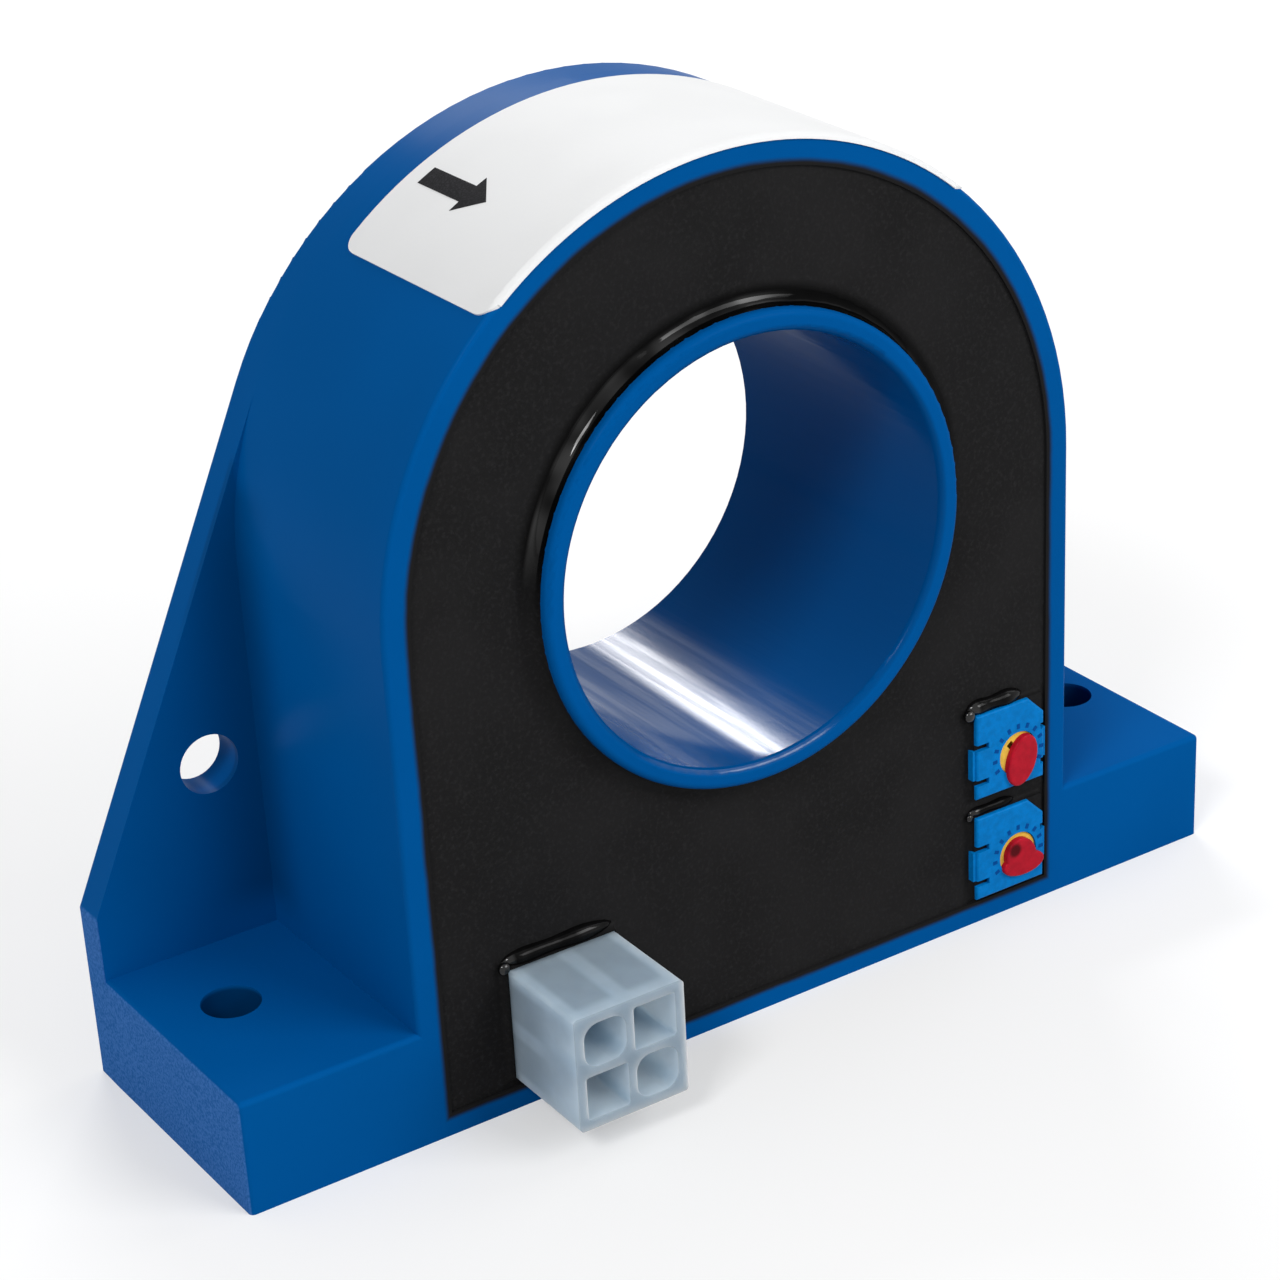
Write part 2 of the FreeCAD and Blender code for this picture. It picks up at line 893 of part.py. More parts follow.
def main():
    os.makedirs("parts", exist_ok=True)
    contacts = make_contacts()
    hall_leads = make_hall_leads()
    pins = make_trimmer_pins()
    leads = contacts + hall_leads + pins
    nodes = {
        "magnetic_core": make_core(),
        "hall_element": make_hall_element(),
        "hall_leads": hall_leads,
        "circuit_board": make_board(leads),
        "connector_housing": make_connector_housing().cut(contacts),
        "connector_contacts": contacts,
        "trimmer_pins": pins,
        "amplifier_chips": make_chips(),
        "amplifier_leads": make_chip_leads(),
        "resistor_bodies": make_resistors(),
        "resistor_ends": make_resistor_ends(),
        "capacitor_bodies": make_capacitors(),
        "capacitor_ends": make_capacitor_ends(),
        "diode_bodies": make_diodes(),
        "diode_tabs": make_diode_tabs(),
        "solder_joints": make_solder(leads),
    }
    seals = {}
    for row, name in enumerate(trimmer_names):
        body = make_trimmer_body(row).cut(pins)
        rotor = make_trimmer_rotor(row)
        nodes[name + "_trimmer_body"] = body
        nodes[name + "_trimmer_rotor"] = rotor
        seals[name + "_trimmer_seal"] = make_trimmer_seal(row, body, rotor)
    embedded = []
    for shape in nodes.values():
        embedded.extend(shape if isinstance(shape, list) else [shape])
    resin = make_resin(embedded)
    nodes["housing"] = make_housing()
    nodes["potting_resin"] = resin
    nodes["label"] = make_label()
    for name, drop in seals.items():
        nodes[name] = drop.cut(resin)
    for name, shape in nodes.items():
        result = save(name, shape)
        print(name, len(result.Solids), result.isValid(), round(result.Volume, 2))


if __name__ == "__main__":
    main()
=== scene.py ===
import math

import bmesh
import bpy
from bpy.props import FloatProperty, FloatVectorProperty, IntProperty, PointerProperty
from mathutils import Euler, Matrix, Vector


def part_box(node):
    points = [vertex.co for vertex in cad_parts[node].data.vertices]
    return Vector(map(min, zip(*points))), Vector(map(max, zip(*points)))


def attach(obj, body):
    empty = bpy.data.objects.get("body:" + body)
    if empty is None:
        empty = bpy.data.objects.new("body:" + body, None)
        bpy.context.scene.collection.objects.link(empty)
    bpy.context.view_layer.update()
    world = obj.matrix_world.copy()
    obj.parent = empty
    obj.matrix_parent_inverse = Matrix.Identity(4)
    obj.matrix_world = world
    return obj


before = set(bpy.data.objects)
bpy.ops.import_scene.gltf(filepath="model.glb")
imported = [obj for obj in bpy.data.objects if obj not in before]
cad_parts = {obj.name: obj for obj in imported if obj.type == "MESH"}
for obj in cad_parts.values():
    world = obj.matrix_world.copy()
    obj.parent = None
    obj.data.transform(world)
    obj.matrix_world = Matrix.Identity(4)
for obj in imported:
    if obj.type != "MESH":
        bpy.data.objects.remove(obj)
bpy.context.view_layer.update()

bl_info = {
    "name": "Hall effect current sensor",
    "version": (1, 0, 0),
    "blender": (4, 5, 0),
    "location": "3D View > Sidebar > Sensor",
    "description": "Finishes the current sensor: moulding, resin, sticker, header and trimmers",
    "category": "Object",
}

MM = 0.001
BODY = "root"

# Sockets of the Mix node when it mixes colours
FIRST_COLOUR, SECOND_COLOUR, MIXED_COLOUR = 6, 7, 2

WHITE = (1.0, 1.0, 1.0, 1.0)
FLOOR_GREY = (0.58, 0.58, 0.58, 1.0)

# Soft boxes: name, place, width and height, and the stage's brightness for each
SOFT_BOXES = (
    ("back_soft_box", (0.18, 0.446, 0.317), (0.24, 0.07), "back_lamp"),
    ("key_soft_box", (-0.39, -0.244, 0.448), (0.18, 0.14), "key_lamp"),
    ("front_soft_box", (0.297, -0.475, 0.383), (0.40, 0.30), "front_lamp"),
    ("side_soft_box", (0.45, 0.05, 0.40), (0.35, 0.35), "side_lamp"),
)
LIT_POINT = (0.0, 0.0, 0.033)

# The camera's film width in millimetres, and the nearest that it sees in metres
FILM_WIDTH = 36.0
NEAREST_SEEN = 0.01

# Where the resin climbs what it holds: the node, how far in millimetres, and how glossy, which is
# also how strongly painted shade darkens it
RESIN_CLIMBS = (
    ("connector_housing", 0.7, 0.25),
    ("offset_trimmer_body", 0.45, 0.2),
    ("gain_trimmer_body", 0.45, 0.2),
)

# Rolls of resin: the node under each, the share of its width covered, and the thickness
RESIN_ROLLS = (
    ("connector_housing", 1.0, 1.0),
    ("offset_trimmer_body", 0.72, 1.0),
    ("gain_trimmer_body", 0.62, 0.65),
)
ROLL_STATIONS, ROLL_SIDES = 20, 12

# The arrow's outline: steps from its axis to an edge, and what counts as one point
ARROW_STEPS = 6
MERGED = 0.001 * MM
NO_LENGTH = 0.0001 * MM

# Patterns inside the sensor, in millimetres
STRIP_THICKNESS = 0.3
CLOTH_PITCH = 0.7


# Sizes and colours


class SensorSizes(bpy.types.PropertyGroup):
    """Sizes that the finishes follow, and those of what is printed or laid on"""

    window_height: FloatProperty(
        name="Window height", description="Height of the conductor window's axis over the base",
        default=37.6 * MM, unit="LENGTH", precision=5)
    window_radius: FloatProperty(
        name="Window radius", description="Radius of the conductor window",
        default=16.0 * MM, unit="LENGTH", precision=5)
    lip_radius: FloatProperty(
        name="Lip radius", description="Outer radius of the window's tube, which the resin climbs",
        default=17.6 * MM, unit="LENGTH", precision=5)
    mould_draft: FloatProperty(
        name="Mould draft", description="How far the outside spreads for each unit of depth",
        default=0.0162, precision=4)
    arch_side: FloatProperty(
        name="Arch side", description="Distance of the arch's sides from the middle",
        default=29.2 * MM, unit="LENGTH", precision=5)
    flange_face: FloatProperty(
        name="Flange face", description="Depth of the flange's front face",
        default=8.7 * MM, unit="LENGTH", precision=5)
    foot_top: FloatProperty(
        name="Foot top", description="Height of the top of the feet over the base",
        default=9.0 * MM, unit="LENGTH", precision=5)
    rim_face: FloatProperty(
        name="Rim face", description="Depth of the front face of the rim round the resin",
        default=-11.7 * MM, unit="LENGTH", precision=5)
    rim_inside: FloatProperty(
        name="Rim inside", description="Radius of the rim's inner edge round the window's axis",
        default=27.1 * MM, unit="LENGTH", precision=5)
    rim_floor: FloatProperty(
        name="Rim floor", description="Height of the rim's inner edge over the base",
        default=1.8 * MM, unit="LENGTH", precision=5)
    rim_film: FloatProperty(
        name="Resin film", description="How far resin creeps over the rim's inner edge",
        default=0.42 * MM, unit="LENGTH", precision=5)
    left_foot_hole: FloatProperty(
        name="Left foot hole", description="Place of the left foot's screw hole across the width",
        default=-37.5 * MM, unit="LENGTH", precision=5)
    right_foot_hole: FloatProperty(
        name="Right foot hole", description="Place of the right foot's screw hole across the width",
        default=39.6 * MM, unit="LENGTH", precision=5)
    foot_hole_back: FloatProperty(
        name="Foot hole depth", description="Depth at which both screw holes of the feet stand",
        default=0.5 * MM, unit="LENGTH", precision=5)
    foot_hole_radius: FloatProperty(
        name="Foot hole radius", description="Radius of the screw holes of the feet",
        default=2.2 * MM, unit="LENGTH", precision=5)
    arrow_angle: FloatProperty(
        name="Arrow angle", description="Where the arrow lies round the arch, from the right",
        default=math.radians(118.1), subtype="ANGLE")
    arrow_tail: FloatProperty(
        name="Arrow tail", description="Depth at which the arrow's shaft starts",
        default=5.05 * MM, unit="LENGTH", precision=5)
    arrow_neck: FloatProperty(
        name="Arrow neck", description="Depth at which the arrow's head starts",
        default=-0.38 * MM, unit="LENGTH", precision=5)
    arrow_tip: FloatProperty(
        name="Arrow tip", description="Depth of the arrow's point",
        default=-2.74 * MM, unit="LENGTH", precision=5)
    arrow_shaft: FloatProperty(
        name="Shaft width", description="Width of the arrow's shaft along the arch",
        default=1.65 * MM, unit="LENGTH", precision=5)
    arrow_head: FloatProperty(
        name="Head width", description="Width of the arrow's head along the arch",
        default=3.5 * MM, unit="LENGTH", precision=5)
    ink_height: FloatProperty(
        name="Ink height", description="How far printing stands over what carries it",
        default=0.02 * MM, unit="LENGTH", precision=5)
    resin_face: FloatProperty(
        name="Resin face", description="Depth of the resin's flat face",
        default=-11.5 * MM, unit="LENGTH", precision=5)
    roll_radius: FloatProperty(
        name="Resin roll", description="Radius of the rolls of resin on the header and trimmers",
        default=0.62 * MM, unit="LENGTH", precision=5)
    bead_radius: FloatProperty(
        name="Resin bead", description="Radius of the largest bead of resin",
        default=0.5 * MM, unit="LENGTH", precision=5)
    mark_count: IntProperty(
        name="Scale marks", description="Marks printed round each trimmer's rotor", default=11)
    mark_radius: FloatProperty(
        name="Scale radius", description="Radius of the ring of marks",
        default=2.28 * MM, unit="LENGTH", precision=5)
    mark_length: FloatProperty(
        name="Mark length", description="Length of a mark outwards from the rotor",
        default=0.42 * MM, unit="LENGTH", precision=5)
    mark_width: FloatProperty(
        name="Mark width", description="Width of a mark round the rotor",
        default=0.3 * MM, unit="LENGTH", precision=5)
    mark_start: FloatProperty(
        name="Scale start", description="Angle of the first mark",
        default=math.radians(-25.0), subtype="ANGLE")
    mark_sweep: FloatProperty(
        name="Scale sweep", description="Angle from the first mark to the last",
        default=math.radians(230.0), subtype="ANGLE")


def colour_property(name, description, default):
    """A colour that a user may change."""
    return FloatVectorProperty(
        name=name, description=description, default=default,
        subtype="COLOR", size=3, min=0.0, max=1.0)


class SensorColours(bpy.types.PropertyGroup):
    """Base colours of the sensor's materials"""

    moulding: colour_property("Moulding", "Blue of the moulded body", (0.0, 0.079, 0.285))
    resin: colour_property("Resin", "Black of the potting resin", (0.0130, 0.0128, 0.0132))
    sticker: colour_property("Sticker", "White of the sticker", (0.76, 0.765, 0.77))
    ink: colour_property("Ink", "Black of the printed arrow", (0.016, 0.016, 0.018))
    nylon: colour_property("Nylon", "Natural nylon of the header", (0.34, 0.435, 0.525))
    trimmer: colour_property("Trimmer", "Blue of the trimmer bodies", (0.0, 0.165, 0.49))
    mark: colour_property("Scale mark", "Dark blue of the trimmer marks", (0.0, 0.06, 0.26))
    rotor: colour_property("Rotor", "Yellow of the trimmer rotors", (0.80, 0.50, 0.075))
    lacquer: colour_property("Lacquer", "Red of the sealing lacquer", (0.40, 0.007, 0.02))
    steel: colour_property("Core steel", "Grey of the core's steel strip", (0.36, 0.35, 0.34))
    tin: colour_property("Tin", "Tinned copper of the leads", (0.72, 0.70, 0.66))
    solder: colour_property("Solder", "Grey of the solder joints", (0.58, 0.58, 0.57))
    board: colour_property("Board", "Green of the circuit board", (0.012, 0.13, 0.05))
    epoxy: colour_property("Epoxy", "Black of the chips and the element", (0.017, 0.017, 0.018))
    ceramic: colour_property("Ceramic", "Tan of the capacitors", (0.44, 0.30, 0.17))


class SensorStage(bpy.types.PropertyGroup):
    """Camera, lamps and floor"""

    camera_place: FloatVectorProperty(
        name="Camera place", description="Where the camera stands",
        default=(-114.8335 * MM, -178.2332 * MM, 126.3644 * MM),
        subtype="TRANSLATION", unit="LENGTH", size=3, precision=5)
    camera_turn: FloatVectorProperty(
        name="Camera turn", description="How the camera is turned",
        default=(math.radians(64.705), math.radians(2.7924), math.radians(-33.6719)),
        subtype="EULER", unit="ROTATION", size=3)
    camera_lens: FloatProperty(
        name="Lens", description="Focal length in millimetres on a 36 mm sensor",
        default=88.917, min=1.0)
    room_level: FloatProperty(
        name="Room level", description="Brightness of the room round the stage",
        default=0.42, min=0.0)
    floor_level: FloatProperty(
        name="Floor level", description="Brightness that the floor has of its own",
        default=0.36, min=0.0)
    floor_width: FloatProperty(
        name="Floor width", description="Width of the square floor",
        default=6.0, unit="LENGTH", min=0.5)
    back_lamp: FloatProperty(
        name="Back lamp", description="Brightness of the soft box behind and over the sensor",
        default=16.5, min=0.0)
    key_lamp: FloatProperty(
        name="Key lamp", description="Brightness of the soft box over the left",
        default=15.5, min=0.0)
    front_lamp: FloatProperty(
        name="Front lamp", description="Brightness of the soft box in front, towards the right",
        default=5.1, min=0.0)
    side_lamp: FloatProperty(
        name="Side lamp", description="Brightness of the soft box at the right",
        default=0.8, min=0.0)


# Shader maths


class Value:
    """A shader socket in plain arithmetic: each sum or product adds a Math node."""

    def __init__(self, finish, socket):
        self.finish = finish
        self.socket = socket

    def reckon(self, operation, other=0.0):
        return self.finish.node("ShaderNodeMath", {"operation": operation}, {0: self, 1: other})

    def __add__(self, other):
        return self.reckon("ADD", other)

    __radd__ = __add__

    def __sub__(self, other):
        return self.reckon("SUBTRACT", other)

    def __rsub__(self, other):
        return self.finish.node("ShaderNodeMath", {"operation": "SUBTRACT"}, {0: other, 1: self})

    def __mul__(self, other):
        return self.reckon("MULTIPLY", other)

    __rmul__ = __mul__

    def __abs__(self):
        return self.reckon("ABSOLUTE")

    def larger(self, other):
        return self.reckon("MAXIMUM", other)

    def root(self):
        return self.reckon("SQRT")

    def sine(self):
        return self.reckon("SINE")

    def step(self, start, end):
        """Rises softly from 0 at start to 1 at end."""
        limits = {"Value": self, "From Min": start, "From Max": end}
        return self.finish.node("ShaderNodeMapRange", {"interpolation_type": "SMOOTHSTEP"}, limits)


class Finish:
    """A node material with one Principled shader."""

    def __init__(self, name, uniform):
        self.material = bpy.data.materials.new(name)
        self.material.use_nodes = True
        self.tree = self.material.node_tree
        self.tree.nodes.clear()
        self.shader = self.tree.nodes.new("ShaderNodeBsdfPrincipled")
        surface = self.tree.nodes.new("ShaderNodeOutputMaterial")
        self.tree.links.new(self.shader.outputs[0], surface.inputs["Surface"])
        for socket, value in uniform.items():
            self.shader.inputs[socket].default_value = value

    def node(self, kind, settings=None, sockets=None, output=0):
        """Adds one node; its settings come first, then its sockets' values or links."""
        made = self.tree.nodes.new(kind)
        for name, value in (settings or {}).items():
            setattr(made, name, value)
        for key, value in (sockets or {}).items():
            self.feed(made.inputs[key], value)
        return Value(self, made.outputs[output])

    def feed(self, socket, value):
        if isinstance(value, Value):
            self.tree.links.new(value.socket, socket)
        else:
            socket.default_value = value

    def paint(self, **sockets):
        """Feeds the shader: base_colour, roughness, coat or normal."""
        names = {"base_colour": "Base Color", "roughness": "Roughness",
                 "coat": "Coat Weight", "normal": "Normal"}
        for name, value in sockets.items():
            self.feed(self.shader.inputs[names[name]], value)

    def place(self):
        """The surface's place in the part's frame, in millimetres."""
        point = self.node("ShaderNodeTexCoord", output="Object")
        sockets = {0: point, "Scale": 1 / MM}
        return self.node("ShaderNodeVectorMath", {"operation": "SCALE"}, sockets)

    def apart(self, place):
        """The three numbers of a place."""
        split = self.node("ShaderNodeSeparateXYZ", None, {0: place})
        outputs = split.socket.node.outputs
        return tuple(Value(self, outputs[axis]) for axis in ("X", "Y", "Z"))

    def stretched(self, place, scale):
        """A place with each axis multiplied by its own number."""
        return self.node("ShaderNodeVectorMath", {"operation": "MULTIPLY"}, {0: place, 1: scale})

    def noise(self, place, scale, detail=3.0, roughness=0.5):
        sockets = {"Vector": place, "Scale": scale, "Detail": detail, "Roughness": roughness}
        return self.node("ShaderNodeTexNoise", None, sockets)

    def mixed(self, factor, first, second):
        """A colour between two colours."""
        sockets = {0: factor, FIRST_COLOUR: first, SECOND_COLOUR: second}
        return self.node("ShaderNodeMix", {"data_type": "RGBA"}, sockets, MIXED_COLOUR)

    def bump(self, height, distance, strength=1.0):
        """A normal from a height; distance is in millimetres."""
        sockets = {"Height": height, "Distance": distance * MM, "Strength": strength}
        return self.node("ShaderNodeBump", None, sockets)


def tint(colour, factor, lift=0.0):
    """A colour made lighter or darker, with alpha."""
    return tuple(min(1.0, part * factor + lift) for part in colour) + (1.0,)


def box_distance(x, z, middle, half):
    """How far a point of the resin face lies outside a node's box."""
    return (abs(x - middle.x) - half.x).larger(abs(z - middle.z) - half.z)


def node_middle(node):
    """The middle of a node's box in millimetres, and half its sides."""
    low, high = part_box(node)
    return (low + high) / (2 * MM), (high - low) / (2 * MM)


# Materials


def from_axis(x, z, sizes):
    """Distance of a point from the conductor window's axis."""
    height = z - sizes.window_height / MM
    return (x * x + height * height).root()


def window_masks(x, z, sizes):
    """Shares of the window's inside, and of the strip low in it that is worn smooth."""
    window = sizes.window_radius / MM
    inside = from_axis(x, z, sizes).step(window + 0.5, window + 0.2)
    low = (z - sizes.window_height / MM).step(-0.72 * window, -0.92 * window)
    left = x.step(0.42 * window, 0.26 * window)
    return inside, inside * low * left


def shaded_corners(x, y, z, sizes):
    """Share of shade in the corners between the arch and the flange, over the feet."""
    side = sizes.arch_side / MM
    flange = sizes.flange_face / MM
    foot = sizes.foot_top / MM
    by_side = abs(x).step(side + 6.8, side + 0.8) * abs(x).step(side - 0.6, side - 0.1)
    by_flange = y.step(flange - 5.7, flange) * y.step(flange + 0.7, flange + 0.3)
    over_foot = z.step(foot + 0.5, foot + 4.0) * z.step(foot + 47.0, foot + 27.0)
    return by_side * by_flange * over_foot


def dark_bores(x, y, z, sizes):
    """Share of shade in the screw holes of the feet, from just under their mouths."""
    depth = y - sizes.foot_hole_back / MM
    radius = sizes.foot_hole_radius / MM
    foot = sizes.foot_top / MM

    def bore(hole):
        across = x - hole / MM
        return (across * across + depth * depth).root().step(radius + 0.1, radius + 0.03)

    both = bore(sizes.left_foot_hole).larger(bore(sizes.right_foot_hole))
    return both * z.step(foot - 0.03, foot - 0.4)


def rim_film(finish, place, sizes):
    """Share of black where resin has crept over the inner edge of the rim."""
    x, y, z = finish.apart(place)
    above = (z - sizes.window_height / MM).larger(0.0)
    around = (x * x + above * above).root() - sizes.rim_inside / MM
    below = sizes.rim_floor / MM - z
    wobble = (finish.noise(place, scale=0.3, detail=2.0) - 0.5) * 0.2
    reach = sizes.rim_film / MM
    covered = (around.larger(below) + wobble).step(reach + 0.25, reach - 0.25)
    behind_face = y - sizes.rim_face / MM
    on_face = behind_face.step(0.4, 0.3) * behind_face.step(-0.06, -0.02)
    off_lip = from_axis(x, z, sizes) - sizes.lip_radius / MM
    return covered * on_face * off_lip.step(0.5, 1.0)


def moulding_finish(colours, sizes):
    """Blue moulded plastic, smoothest in the window; the ends of the feet are grainy. Painted sheen
    makes those ends paler, and painted shade darkens the flange's corners, the screw holes and the
    window's inside.
    """
    finish = Finish("glossy_blue_moulding", {"IOR": 1.05, "Coat Roughness": 0.14})
    place = finish.place()
    x, y, z = finish.apart(place)
    blue = colours.moulding
    inside, worn = window_masks(x, z, sizes)
    middle, half = node_middle("housing")
    spread = (middle.y + half.y - y) * sizes.mould_draft
    end_face = (abs(x) + spread).step(half.x - 0.1, half.x)
    foot = (z - sizes.foot_top / MM).step(1.5, 0.2)
    cloud = finish.noise(place, scale=0.045, detail=2.0).step(0.3, 0.7)
    grain = finish.noise(place, scale=5.0, detail=2.0, roughness=0.6)
    wave = finish.noise(place, scale=0.16, detail=1.0)
    drawn_out = finish.stretched(place, (1.1, 0.04, 1.1))
    streak = finish.noise(drawn_out, scale=1.0, detail=3.0, roughness=0.6).step(0.38, 0.62)
    # Painted sheen: the end faces of the feet are paler, with a grain in the paleness.
    grainy_sheen = finish.mixed(grain.step(0.35, 0.65), tint(blue, 1.15, lift=0.02),
                        tint(blue, 1.45, lift=0.05))
    colour = finish.mixed(cloud, tint(blue, 0.96), tint(blue, 1.05))
    colour = finish.mixed(shaded_corners(x, y, z, sizes) * 0.9, colour, tint(blue, 0.6))
    colour = finish.mixed(dark_bores(x, y, z, sizes) * 0.8, colour, tint(blue, 0.35))
    colour = finish.mixed(end_face, colour, grainy_sheen)
    colour = finish.mixed(rim_film(finish, place, sizes), colour, tint(colours.resin, 1.0))
    # Painted shade: the window's inside is darkened.
    colour = finish.mixed(inside * 0.8, colour, tint(blue, 0.75))
    polish = inside * (0.16 - streak * 0.1)
    height = wave * 0.4 + end_face * grain * 0.35 + inside * streak * 0.6
    finish.paint(base_colour=colour,
                 roughness=0.26 + grain * 0.08 + end_face * 0.3 + foot * 0.25 - polish,
                 coat=inside * 0.03 + worn * (0.34 + streak * 0.4),
                 normal=finish.bump(height, distance=0.03, strength=0.35))
    return finish.material


def resin_finish(colours, sizes):
    """Black potting resin: fine matt skin, glossy where it climbs round what it holds, and darkened
    there with painted shade.
    """
    finish = Finish("black_potting_resin", {"IOR": 1.1, "Coat Roughness": 0.05})
    place = finish.place()
    x, _, z = finish.apart(place)
    black = colours.resin
    off_lip = from_axis(x, z, sizes) - sizes.lip_radius / MM
    over_axis = z - sizes.window_height / MM
    upper_left = (over_axis - x * 0.7).step(14.0, 20.0)
    spots = finish.noise(place, scale=0.3, detail=1.0).step(0.36, 0.66)
    glint = off_lip.step(0.95, 0.6) * upper_left * (0.1 + spots * 0.9)
    gloss_and_shade = off_lip.step(1.9, 0.7) * over_axis.step(-2.0, 6.0)
    for node, climb, gloss in RESIN_CLIMBS:
        away = box_distance(x, z, *node_middle(node))
        gloss_and_shade = gloss_and_shade.larger(away.step(climb + 0.25, climb - 0.2) * gloss)
    grain = finish.noise(place, scale=3.2, detail=4.0, roughness=0.65)
    cloud = finish.noise(place, scale=0.12, detail=2.0)
    ripple = finish.noise(place, scale=0.28, detail=1.5)
    colour = finish.mixed(grain.step(0.45, 0.75), tint(black, 0.8), tint(black, 1.4))
    colour = finish.mixed(cloud.step(0.35, 0.7) * 0.5, colour, tint(black, 1.25))
    # Painted shade: the resin is darkened where it climbs round the window's tube and what it
    # holds.
    colour = finish.mixed(gloss_and_shade, colour, tint(black, 0.08))
    height = grain * (1 - gloss_and_shade) * 0.8 + cloud * 0.6 + gloss_and_shade * ripple * 18.0
    finish.paint(base_colour=colour,
                 roughness=(0.5 + grain * 0.12) * (1 - gloss_and_shade) + 0.1 * gloss_and_shade,
                 coat=glint * 0.9,
                 normal=finish.bump(height, distance=0.03, strength=0.5))
    return finish.material


def wet_resin_finish(colours):
    """Black resin that dried in rolls: dark, with a wet glint at each left end."""
    finish = Finish("wet_black_resin", {"IOR": 1.08, "Coat Roughness": 0.08})
    place = finish.place()
    x = finish.apart(place)[0]
    nodes = ("connector_housing", "gain_trimmer_body")
    header, trimmer = (abs(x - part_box(node)[0].x / MM) for node in nodes)
    left_end = header.step(0.9, 0.5).larger(trimmer.step(0.9, 0.5))
    spots = finish.noise(place, scale=0.45, detail=1.0).step(0.42, 0.72)
    skin = finish.noise(place, scale=1.6, detail=2.0)
    colour = finish.mixed(skin, tint(colours.resin, 0.1), tint(colours.resin, 0.35))
    finish.paint(base_colour=colour, roughness=0.12 + skin * 0.1,
                 coat=0.05 + spots * 0.25 + left_end * 0.7,
                 normal=finish.bump(skin, distance=0.08, strength=0.5))
    return finish.material


def sticker_finish(colours):
    """White gloss sticker film with a faint fibre."""
    finish = Finish("white_gloss_sticker", {"IOR": 1.02})
    place = finish.place()
    fibre = finish.noise(place, scale=2.2, detail=3.0, roughness=0.6)
    cloud = finish.noise(place, scale=0.1, detail=2.0)
    colour = finish.mixed(cloud.step(0.35, 0.65), tint(colours.sticker, 0.985),
                          tint(colours.sticker, 1.01))
    finish.paint(base_colour=colour, roughness=0.3 + fibre * 0.08,
                 normal=finish.bump(fibre + cloud * 1.5, distance=0.012, strength=0.5))
    return finish.material


def ink_finish(colours):
    """Slightly uneven black printing ink."""
    finish = Finish("black_print", {"IOR": 1.06})
    place = finish.place()
    grain = finish.noise(place, scale=7.0, detail=2.0)
    colour = finish.mixed(grain.step(0.4, 0.7), tint(colours.ink, 0.8), tint(colours.ink, 1.6))
    finish.paint(base_colour=colour, roughness=0.42 + grain * 0.12,
                 normal=finish.bump(grain, distance=0.005, strength=0.4))
    return finish.material


def nylon_finish(colours):
    """Natural nylon: milky, with painted shade where a wall has a hollow behind it and on the front
    face, and painted light in the cavities.
    """
    finish = Finish("natural_nylon", {
        "Subsurface Weight": 1.0, "Subsurface Radius": (1.0, 1.0, 1.0),
        "Subsurface Scale": 5.0 * MM, "IOR": 1.3})
    place = finish.place()
    x, y, z = finish.apart(place)
    nylon = colours.nylon
    middle, half = node_middle("connector_housing")
    across, upright = abs(x - middle.x), abs(z - middle.z)
    way = half.x * 0.47
    hollow_x = abs(across - way).step(1.8, 1.2)
    hollow_z = abs(upright - way).step(1.8, 1.2)
    side = across.step(half.x - 0.35, half.x - 0.1)
    top_or_bottom = upright.step(half.z - 0.35, half.z - 0.1)
    behind_front = y - (middle.y - half.y)
    along_way = behind_front.step(0.7, 1.7) * behind_front.step(10.5, 9.0)
    rear_half = behind_front.step(3.0, 6.0)
    inside = (1 - top_or_bottom) * (1 - side) * behind_front.step(0.15, 2.5)
    shade = (top_or_bottom * hollow_x + side * hollow_z * rear_half) * along_way
    cloud = finish.noise(place, scale=0.5, detail=2.0)
    colour = finish.mixed(cloud.step(0.3, 0.7), tint(nylon, 0.96), tint(nylon, 1.05))
    colour = finish.mixed(shade * 0.45, colour, tint(nylon, 0.5))
    # Painted light: the cavities' walls are lightened.
    colour = finish.mixed(inside, colour, tint(nylon, 1.35))
    # Painted shade: the front face is darkened.
    colour = finish.mixed(behind_front.step(0.15, 0.05) * 0.7, colour, tint(nylon, 0.5))
    finish.paint(base_colour=colour, roughness=0.36 + cloud * 0.12,
                 normal=finish.bump(cloud, distance=0.05, strength=0.4))
    return finish.material


def lacquer_finish(colours):
    """Red sealing lacquer, with painted shade darkening it over one end of the lower rotor's slot.
    """
    finish = Finish("red_sealing_lacquer", {"IOR": 1.15})
    place = finish.place()
    x, _, z = finish.apart(place)
    red = colours.lacquer
    middle = node_middle("gain_trimmer_rotor")[0]
    across = x - (middle.x - 0.55)
    upward = z - (middle.z + 0.55)
    slot_shade = (across * across + upward * upward).root().step(0.75, 0.35)
    mottle = finish.noise(place, scale=1.1, detail=3.0, roughness=0.6)
    colour = finish.mixed(mottle.step(0.3, 0.7), tint(red, 0.88), tint(red, 1.12))
    # Painted shade over the hollow of the slot under the lacquer.
    colour = finish.mixed(slot_shade * 0.9, colour, tint(red, 0.12))
    finish.paint(base_colour=colour, roughness=0.16 + mottle * 0.1,
                 normal=finish.bump(mottle, distance=0.04, strength=0.5))
    return finish.material


def plastic_finish(name, colour, roughness, contrast=0.08, scale=2.5):
    """A moulded or cured plain material with a soft mottle and a fine skin."""
    finish = Finish(name, {"IOR": 1.12})
    place = finish.place()
    mottle = finish.noise(place, scale=scale, detail=3.0, roughness=0.6)
    skin = finish.noise(place, scale=4 * scale, detail=2.0)
    shade = finish.mixed(mottle.step(0.3, 0.7), tint(colour, 1 - contrast),
                         tint(colour, 1 + contrast))
    finish.paint(base_colour=shade, roughness=roughness + skin * 0.08,
                 normal=finish.bump(mottle + skin * 0.5, distance=0.01, strength=0.5))
    return finish.material


